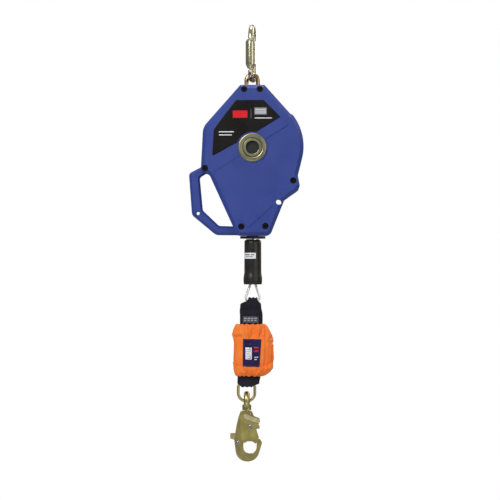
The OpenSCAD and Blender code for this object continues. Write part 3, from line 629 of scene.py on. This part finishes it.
def build_upper_strap():
    """The webbing over the rope's loop: bunched between the legs, hood-like below, then pressed in."""
    low, high = box_mm("upper_web_loop")
    bar_x, bar_z = LOOP_BAR[0], LOOP_BAR[2]
    wide_x, wide = (low[0] + high[0]) / 2, (high[0] - low[0]) / 2
    rows = []
    ply_y, bunched = 4.4, 9.2
    for y, z, out_y, out_z in folded_path(bar_z, low[2], ply_y, 1):
        drop = bar_z + ply_y - z
        spread = smooth_step(drop, 3.0, 12.5)
        half = bunched + (wide - bunched) * spread + 1.8 * smooth_step(drop, 14, 30)
        x = bar_x + (wide_x - bar_x) * spread + 1.2 * smooth_step(drop, 20, 34)
        pleat = 0.7 * (1 - spread) + 0.35 * spread * (1 - smooth_step(drop, 24, 40))
        bowl = 1.4 * spread * (1 - smooth_step(drop, 15, 35))
        if y < 0:
            hood = 2.2 * math.exp(-((drop - 12) / 5) ** 2)
            hollow = 3.8 * math.exp(-((drop - 23) / 3.6) ** 2)
            y += hollow - hood
            bowl -= 1.2 * hollow
        rows.append(((x, y, z), (0, out_y, out_z), half, pleat, bowl))
    piece = strap("upper_webbing", rows)
    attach(piece, "energy_absorber")
    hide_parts("upper_web_loop")
    return piece


def build_lower_strap():
    """The webbing round the D ring's bar."""
    low, high = box_mm("lower_web_loop")
    bar_x, bar_z = RING_BAR[0], RING_BAR[2]
    wide_x, wide = (low[0] + high[0]) / 2, (high[0] - low[0]) / 2
    rows = []
    ply_y, bunched = 4.3, 11.3
    for y, z, out_y, out_z in folded_path(bar_z, high[2], ply_y, -1):
        rise = z - (bar_z - ply_y)
        spread = smooth_step(rise, 0.0, 6.5)
        half = bunched + (wide + 2.6 - bunched) * spread + 0.9 * smooth_step(rise, 8, 20)
        x = bar_x + (wide_x + 0.6 - bar_x) * spread + 1.2 * smooth_step(rise, 8, 20)
        pleat = 0.8 * (1 - spread) + 0.3 * spread
        rows.append(((x, y, z), (0, out_y, out_z), half, pleat, 0.8 * spread))
    piece = strap("lower_webbing", rows)
    x = bar_x * MM
    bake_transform(piece)
    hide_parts("lower_web_loop")
    return piece


# ---------------------------------------------------------------- energy absorber cover

BAG_COLUMNS = 168
BAG_DROP = 100.6
# Outline of the cover from inside its top opening to inside its bottom one:
# (drop below the top hem, left side, right side, half depth)
BAG_OUTLINE = [
    (9.0, -26.0, 17.0, 8.0), (3.0, -27.0, 18.0, 9.0), (0.6, -29.0, 21.0, 11.0), (0.4, -30.5, 24.0, 12.5),
    (2.5, -32.5, 27.0, 14.0), (6.0, -34.5, 30.0, 15.5), (12.0, -37.5, 34.0, 17.5),
    (18.0, -39.6, 38.0, 18.8), (28.0, -41.0, 43.0, 20.0), (40.0, -41.6, 45.4, 20.5),
    (57.0, -42.4, 45.4, 20.5), (68.0, -42.8, 43.8, 20.0), (78.0, -41.6, 41.0, 19.0),
    (87.0, -37.6, 37.8, 17.0), (93.0, -35.6, 33.2, 15.0), (98.0, -33.2, 27.0, 12.5),
    (100.3, -31.0, 22.0, 11.0), (100.6, -29.0, 17.0, 9.5), (98.0, -28.5, 13.0, 8.5), (92.0, -28.5, 12.0, 8.0),
]


def bag_points():
    """The cover's cut shape before it swells: rounded sections, gathered near both hems."""
    top = COVER_HIGH[2]
    row_spacing, gather_reach = 1.5, 13.0
    outline = np.array(BAG_OUTLINE)
    steps = np.linalg.norm(np.diff(outline, axis=0), axis=1)
    marks = np.concatenate([[0], np.cumsum(steps)])
    count = int(marks[-1] / row_spacing)
    rows = np.linspace(0, marks[-1], count)
    table = np.stack([np.interp(rows, marks, outline[:, k]) for k in range(4)], axis=1)
    for _ in range(3):
        table[1:-1] = (table[:-2] + 2 * table[1:-1] + table[2:]) / 4
    points = []
    for drop, left, right, depth in table:
        x0, half = (left + right) / 2, (right - left) / 2
        near_hem = math.exp(-drop / gather_reach) + math.exp(-(BAG_DROP - drop) / gather_reach)
        for c in range(BAG_COLUMNS):
            a = TAU * c / BAG_COLUMNS
            ca, sa = math.cos(a), math.sin(a)
            x = x0 + half * math.copysign(abs(ca) ** 0.85, ca)
            y = depth * math.copysign(abs(sa) ** 0.75, sa)
            gather = math.sin(21 * a + 2.2 * math.sin(3 * a) + 0.03 * drop) + 0.5 * math.sin(34 * a + 1.0)
            swell = 0.8 * near_hem * gather
            crumple = 2.4 * noise.noise(Vector((x / 12, y / 12, drop / 34)))
            crumple += 1.0 * noise.noise(Vector((x / 7, y / 7, drop / 16 + 7)))
            push = swell + crumple * (1 - 0.6 * min(1.0, near_hem)) * (0.3 + 0.7 * abs(sa))
            lift = 0.9 * near_hem * math.sin(17 * a + 0.7)
            points.append((x + push * ca, y + push * sa, top - drop + lift))
    return points, len(table)


def swell(piece, pinned, limit_mm):
    """Runs Blender's cloth on a piece under light pressure. No point moves more than the limit."""
    group = piece.vertex_groups.new(name="pinned")
    for index, weight in enumerate(pinned):
        if weight > 0:
            group.add([index], float(weight), "REPLACE")
    start = np.array([v.co for v in piece.data.vertices])
    cloth = piece.modifiers.new("cloth", "CLOTH")
    settings = cloth.settings
    settings.quality = 6
    settings.mass = 0.12
    settings.tension_stiffness = settings.compression_stiffness = 12
    settings.shear_stiffness = 4
    settings.bending_stiffness = 0.35
    settings.use_pressure = True
    settings.uniform_pressure_force = 3.0
    settings.shrink_min = -0.05
    settings.vertex_group_mass = "pinned"
    settings.effector_weights.gravity = 0
    cloth.point_cache.frame_end = 20
    scene = bpy.context.scene
    for step in range(1, 21):
        scene.frame_set(step)
    settled = piece.evaluated_get(bpy.context.evaluated_depsgraph_get())
    moved = np.array([v.co for v in settled.data.vertices]) - start
    piece.modifiers.remove(cloth)
    scene.frame_set(1)
    far = np.linalg.norm(moved, axis=1)[:, None]
    moved *= np.minimum(1.0, limit_mm * MM / np.maximum(far, 1e-9))
    piece.data.vertices.foreach_set("co", (start + moved).ravel())
    piece.vertex_groups.clear()


def overlap_x(z):
    """Where the front panel's sewn edge lies across the cover, at a height in mm."""
    drop = COVER_HIGH[2] - z
    return 21.0 + 4.5 * math.sin(math.pi * drop / 101) - 0.02 * drop


def sew_overlap(piece):
    """Presses the front panel's edge into the swollen cover, as a step with a pulled seam beside it."""
    mesh = piece.data
    for v in mesh.vertices:
        x, y, z = (c / MM for c in v.co)
        if y < -2:
            beside = x - overlap_x(z)
            step = 0.7 * (1 - smooth_step(beside, -0.8, 0.8))
            pull = 1.9 * math.exp(-((beside - 2.2) / 2.4) ** 2)
            v.co.y += (pull - step) * MM
    mesh.update()


def build_cover():
    points, count = bag_points()
    faces = grid_faces(count, BAG_COLUMNS, wrap_columns=True)
    piece = mesh_object("absorber_cover_cloth", points, faces, "orange")
    rows = np.arange(count)
    ends = np.minimum(rows, count - 1 - rows)
    weights = np.clip(1 - (ends - 4) / 6.0, 0, 1)
    swell(piece, np.repeat(weights, BAG_COLUMNS), 6.0)
    sew_overlap(piece)
    fine = piece.modifiers.new("smooth", "SUBSURF")
    fine.levels = fine.render_levels = 1
    thick = piece.modifiers.new("cloth_thickness", "SOLIDIFY")
    thick.thickness = 0.7 * MM
    thick.offset = -1
    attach(piece, "energy_absorber")
    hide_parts("absorber_cover")
    return piece


# ---------------------------------------------------------------- pieces that lie on a surface

def surface_of(piece):
    """A lookup from the front: the y of a piece's surface at (x, z), in mm."""
    settled = piece.evaluated_get(bpy.context.evaluated_depsgraph_get()).data
    faces = [tuple(p.vertices) for p in settled.polygons]
    tree = BVHTree.FromPolygons([v.co for v in settled.vertices], faces)

    def look(x, z):
        hit = tree.ray_cast(Vector((x * MM, -0.2, z * MM)), Vector((0, 1, 0)))[0]
        return hit.y / MM
    return look


def draped(name, corners, look, thickness, material, body, cell=1.5, relax=2):
    """A thin patch on a surface. Its corners run left-top, right-top, right-bottom, left-bottom."""
    lt, rt, rb, lb = (np.array(c, float) for c in corners)
    columns = max(2, int(np.linalg.norm(rt - lt) / cell) + 1)
    rows = max(2, int(np.linalg.norm(lb - lt) / cell) + 1)
    depth = np.zeros((rows, columns))
    place = np.zeros((rows, columns, 2))
    for r in range(rows):
        for c in range(columns):
            u, v = c / (columns - 1), r / (rows - 1)
            place[r, c] = (lt * (1 - u) + rt * u) * (1 - v) + (lb * (1 - u) + rb * u) * v
            depth[r, c] = look(*place[r, c])
    for _ in range(relax):
        padded = np.pad(depth, 1, mode="edge")
        around = padded[:-2, 1:-1] + padded[2:, 1:-1] + padded[1:-1, :-2] + padded[1:-1, 2:]
        depth = np.minimum(depth, (depth + around / 4) / 2)
    points = [(x, y - thickness, z) for (x, z), y in zip(place.reshape(-1, 2), depth.ravel())]
    points += [(x, y + 0.25, z) for (x, z), y in zip(place.reshape(-1, 2), depth.ravel())]
    back = rows * columns
    front_faces = [tuple(reversed(f)) for f in grid_faces(rows, columns)]
    faces = front_faces + [tuple(back + i for i in reversed(f)) for f in front_faces]
    top_and_right = [*range(columns)] + [r * columns + columns - 1 for r in range(1, rows)]
    foot = [(rows - 1) * columns + c for c in range(columns - 2, -1, -1)]
    rim = top_and_right + foot + [r * columns for r in range(rows - 2, 0, -1)]
    faces += [(a, b, b + back, a + back) for a, b in zip(rim, rim[1:] + rim[:1])]
    piece = mesh_object(name, points, faces, material)
    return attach(piece, body)


def stitches(name, corners, look, material, body, inset=1.3, pitch=3.0, length=2.0, radius=0.24, lift=0.35):
    """A row of thread stitches round the inside of a patch's edge."""
    ring = np.array(corners, float)
    centre = ring.mean(axis=0)
    ring = [p + (centre - p) / np.linalg.norm(centre - p) * inset * 1.4 for p in ring]
    parts = []
    for a, b in zip(ring, ring[1:] + ring[:1]):
        run = np.linalg.norm(b - a)
        count = max(1, int(run / pitch))
        for k in range(count):
            start = a + (b - a) * (k + 0.5) / count - (b - a) / run * length / 2
            path = []
            for s in np.linspace(0, 1, 4):
                x, z = start + (b - a) / run * length * s
                path.append((x, look(x, z) - lift * math.sin(math.pi * (0.12 + 0.76 * s)), z))
            parts.append(tube(path, radius, 6))
    points, faces = join_parts(parts)
    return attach(mesh_object(name, points, faces, material), body)


def box_corners(left, top, right, foot):
    """The corners of an upright rectangle, in the order that draped() takes."""
    return [(left, top), (right, top), (right, foot), (left, foot)]


def absorber_label_blocks():
    """Plain blocks in place of print, placed from the label's top left corner."""
    # (name, material, thickness, left, top, right, foot)
    blocks = [
        ("pale", "white_print", 0.12, 4.5, 16.0, 17.0, 39.5),
        ("red_top", "red_print", 0.12, 21.0, 15.0, 30.0, 18.5),
        ("red_low", "red_print", 0.12, 21.0, 21.5, 30.0, 25.0),
        ("pale_low", "white_print", 0.12, 22.0, 34.0, 29.5, 36.0),
        ("pale_foot", "white_print", 0.12, 22.0, 38.5, 27.0, 40.5),
    ]
    for k in range(5):
        top = 19.5 + 4.2 * k
        blocks.append((f"line_{k}", "grey_print", 0.2, 6.5, top, 15.0, top + 1.3))
    return blocks


def build_absorber_label(cover):
    """The woven label on the cover, narrower at its foot, with plain blocks where print would be."""
    low, high = box_mm("absorber_label")
    on_cover = surface_of(cover)
    corners = [(low[0], high[2] + 0.5), (high[0], high[2]), (high[0] - 4, low[2]), (low[0] - 1, low[2] + 1)]
    label = draped("absorber_label_cloth", corners, on_cover, 0.5, "navy_label", "energy_absorber")
    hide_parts("absorber_label")
    on_label = surface_of(label)
    seam = stitches("absorber_label_stitches", corners, on_label, "navy_thread", "energy_absorber")
    for name, material, thickness, left, top, right, foot in absorber_label_blocks():
        block = box_corners(low[0] + left, high[2] - top, low[0] + right, high[2] - foot)
        name = f"absorber_label_{name}"
        mark = draped(name, block, on_label, thickness, material, "energy_absorber", relax=0)


def build_web_patch(upper):
    """The small grey patch sewn on the upper webbing, with a band of plain pale blocks."""
    low, high = box_mm("web_patch")
    look = surface_of(upper)
    corners = box_corners(low[0], high[2], high[0], low[2])
    patch = draped("web_patch_cloth", corners, look, 0.6, "patch", "energy_absorber")
    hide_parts("web_patch")
    on_patch = surface_of(patch)
    seam = stitches("web_patch_stitches", corners, on_patch, "navy_thread", "energy_absorber")
    rows, columns, block_high = 2, 4, 2.6
    pitch_x, pitch_z = (high[0] - low[0] - 4) / columns, 4.2
    for row in range(rows):
        block_wide = pitch_x - 1.8 - 0.7 * row
        for k in range(columns):
            left, top = low[0] + 2.4 + pitch_x * k, high[2] - 2.6 - pitch_z * row
            block = box_corners(left, top, left + block_wide, top - block_high)
            name = f"web_patch_block_{row}_{k}"
            mark = draped(name, block, on_patch, 0.12, "pale_print", "energy_absorber", relax=0)


def build_hems(cover):
    """Orange thread down the front panel's sewn edge."""
    look = surface_of(cover)
    top, low = COVER_HIGH[2] - 8, COVER_LOW[2] + 8
    parts = []
    for z in np.arange(top, low, -3.2):
        path = []
        for s in (0, 0.7, 1.4, 2.1):
            x = overlap_x(z - s) - 2.4
            path.append((x, look(x, z - s) - 0.3 * math.sin(math.pi * (0.12 + 0.36 * s)), z - s))
        parts.append(tube(path, 0.25, 6))
    points, faces = join_parts(parts)
    seam = mesh_object("absorber_cover_stitches", points, faces, "orange_thread")
    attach(seam, "energy_absorber")


# ---------------------------------------------------------------- plain marks on the housing and the bumper

def build_housing_marks():
    """Blank blocks and bars in place of the housing label's print."""
    face = box_mm("label_panel")[0][1]
    # (name, material, left, low, right, high, corner radius), from the hub
    marks = [
        ("block_red", "red_print", -38, 57.5, -9.5, 71.5, 1.2),
        ("divider", "grey_print", -2.9, 56, -2.2, 75, 0.3),
        ("block_pale", "grey_print", 4, 63.5, 28, 77.5, 1.0),
        ("rule", "white_print", 4.5, 56.2, 38, 57.8, 0.7),
        ("line_upper", "white_print", -65, 29.2, -36, 31.0, 0.7),
        ("line_lower", "white_print", -65, 23.2, -40, 25.0, 0.7),
    ]
    stripes = []
    for k in range(3):
        low = 66.0 + 3.6 * k
        stripes.append((f"stripe_{k}", "white_print", 5.2, low, 26.8, low + 1.5, 0.5))
    for group, front, back in ((marks, face - 0.12, face + 0.2), (stripes, face - 0.2, face + 0.1)):
        for name, material, left, low, right, high, radius in group:
            outline = rounded_rectangle(HUB[0] + left, HUB[2] + low, HUB[0] + right, HUB[2] + high, radius)
            piece = extrude_outline(f"label_{name}", outline, front, back, material, "housing")


def build_tag_marks():
    """Plain grey blocks curved round the bumper's tag."""
    low, high = box_mm("bumper_tag")
    axis_x = middle_mm("bumper")[0]
    radius = -low[1] + 0.06
    # (first angle, last angle, drop below the tag's top, height)
    blocks = [(-60, -22, 2.4, 2.6), (-14, 8, 2.4, 2.6), (-56, 2, 6.8, 1.6)]
    for k, (start, end, drop, tall) in enumerate(blocks):
        points = []
        for z in (high[2] - drop, high[2] - drop - tall):
            for degrees in range(start, end + 1, 2):
                a = math.radians(degrees)
                for r in (radius, radius - 0.3):
                    points.append((axis_x + r * math.sin(a), -r * math.cos(a), z))
        n = len(points) // 4
        ring = [2 * i for i in range(n)] + [2 * i + 1 for i in reversed(range(n))]
        faces = [tuple(reversed(ring)), tuple(2 * n + i for i in ring)]
        faces += [(a, b, b + 2 * n, a + 2 * n) for a, b in zip(ring, ring[1:] + ring[:1])]
        mark = mesh_object(f"bumper_tag_block_{k}", points, faces, "grey_print", smooth=False)
        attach(mark, "lifeline_end")


# ---------------------------------------------------------------- stage, light and camera

def area_light(name, energy, size, location, target, color=(1, 1, 1)):
    data = bpy.data.lights.new(name, "AREA")
    data.energy, data.size, data.color = energy, size, color
    lamp = bpy.data.objects.new(name, data)
    lamp.location = location
    lamp.rotation_euler = (Vector(target) - Vector(location)).to_track_quat("-Z", "Y").to_euler()
    bpy.context.scene.collection.objects.link(lamp)


def make_world():
    """Camera rays see plain white; reflections see a studio that is bright above and dim below."""
    world = bpy.data.worlds.new("studio")
    bpy.context.scene.world = world
    world.use_nodes = True
    tree = world.node_tree
    nodes, links = tree.nodes, tree.links
    nodes.clear()
    out = nodes.new("ShaderNodeOutputWorld")
    both = nodes.new("ShaderNodeMixShader")
    path = nodes.new("ShaderNodeLightPath")
    seen, lit = nodes.new("ShaderNodeBackground"), nodes.new("ShaderNodeBackground")
    seen.inputs["Color"].default_value = (1, 1, 1, 1)
    seen.inputs["Strength"].default_value = 1.0
    lit.inputs["Strength"].default_value = 0.48
    place, split = nodes.new("ShaderNodeTexCoord"), nodes.new("ShaderNodeSeparateXYZ")
    ramp = nodes.new("ShaderNodeValToRGB")
    ramp.color_ramp.elements[0].position, ramp.color_ramp.elements[0].color = 0.30, (0.10, 0.10, 0.11, 1)
    ramp.color_ramp.elements[1].position, ramp.color_ramp.elements[1].color = 0.75, (1, 1, 1, 1)
    lift = nodes.new("ShaderNodeMapRange")
    lift.inputs["From Min"].default_value, lift.inputs["From Max"].default_value = -1, 1
    links.new(place.outputs["Generated"], split.inputs[0])
    links.new(split.outputs["Z"], lift.inputs["Value"])
    links.new(lift.outputs[0], ramp.inputs[0])
    links.new(ramp.outputs[0], lit.inputs["Color"])
    links.new(path.outputs["Is Camera Ray"], both.inputs[0])
    links.new(lit.outputs[0], both.inputs[1])
    links.new(seen.outputs[0], both.inputs[2])
    links.new(both.outputs[0], out.inputs[0])


def make_floor():
    """A plain pale floor, below the hook of a fully paid-out lifeline so that no pose is cut by it."""
    payout = next(j for j in frame["joints"] if j["name"] == "lifeline_payout")
    depth = CAD_BOX[0][2] - max(payout["range_m"]) - 0.3
    bpy.ops.mesh.primitive_plane_add(size=40, location=(0, 0, depth))
    floor = bpy.context.object
    floor.name = "floor"
    s = Shader("pale_floor")
    floor.data.materials.append(s.set(color=(0.92, 0.92, 0.92, 1), rough=0.9))


def make_camera():
    """Level, straight in front, through a long lens; the object hangs a little right of centre."""
    seen_m, distance = 0.98, 5.0
    aim_x, aim_z = HUB[0] * MM - 0.0045, HUB[2] * MM - 0.1996
    data = bpy.data.cameras.new("camera")
    data.sensor_width = 36
    data.lens = data.sensor_width * distance / seen_m
    data.clip_end = 60
    camera = bpy.data.objects.new("camera", data)
    camera.location = (aim_x, -distance, aim_z)
    camera.rotation_euler = (math.radians(90), 0, 0)
    bpy.context.scene.collection.objects.link(camera)
    bpy.context.scene.camera = camera


def make_lights():
    middle = (0, 0, -0.42)
    area_light("key", 42, 1.2, (-1.1, -2.0, 0.9), middle)
    area_light("fill", 13, 1.6, (1.7, -1.9, -0.1), middle)
    area_light("top", 14, 1.0, (0.1, 0.3, 1.4), middle)
    area_light("rim", 12, 0.8, (1.2, 1.2, 0.3), middle)
    area_light("low", 6, 1.4, (-0.2, -1.6, -1.9), middle)
    settings = bpy.context.scene.view_settings
    settings.view_transform = "Standard"
    settings.look = "None"


finish_all_cad()
build_lifeline()
build_lifeline_loop()
upper = build_upper_strap()
build_lower_strap()
cover = build_cover()
build_absorber_label(cover)
build_web_patch(upper)
build_hems(cover)
build_housing_marks()
build_tag_marks()
make_world()
make_floor()
make_camera()
make_lights()
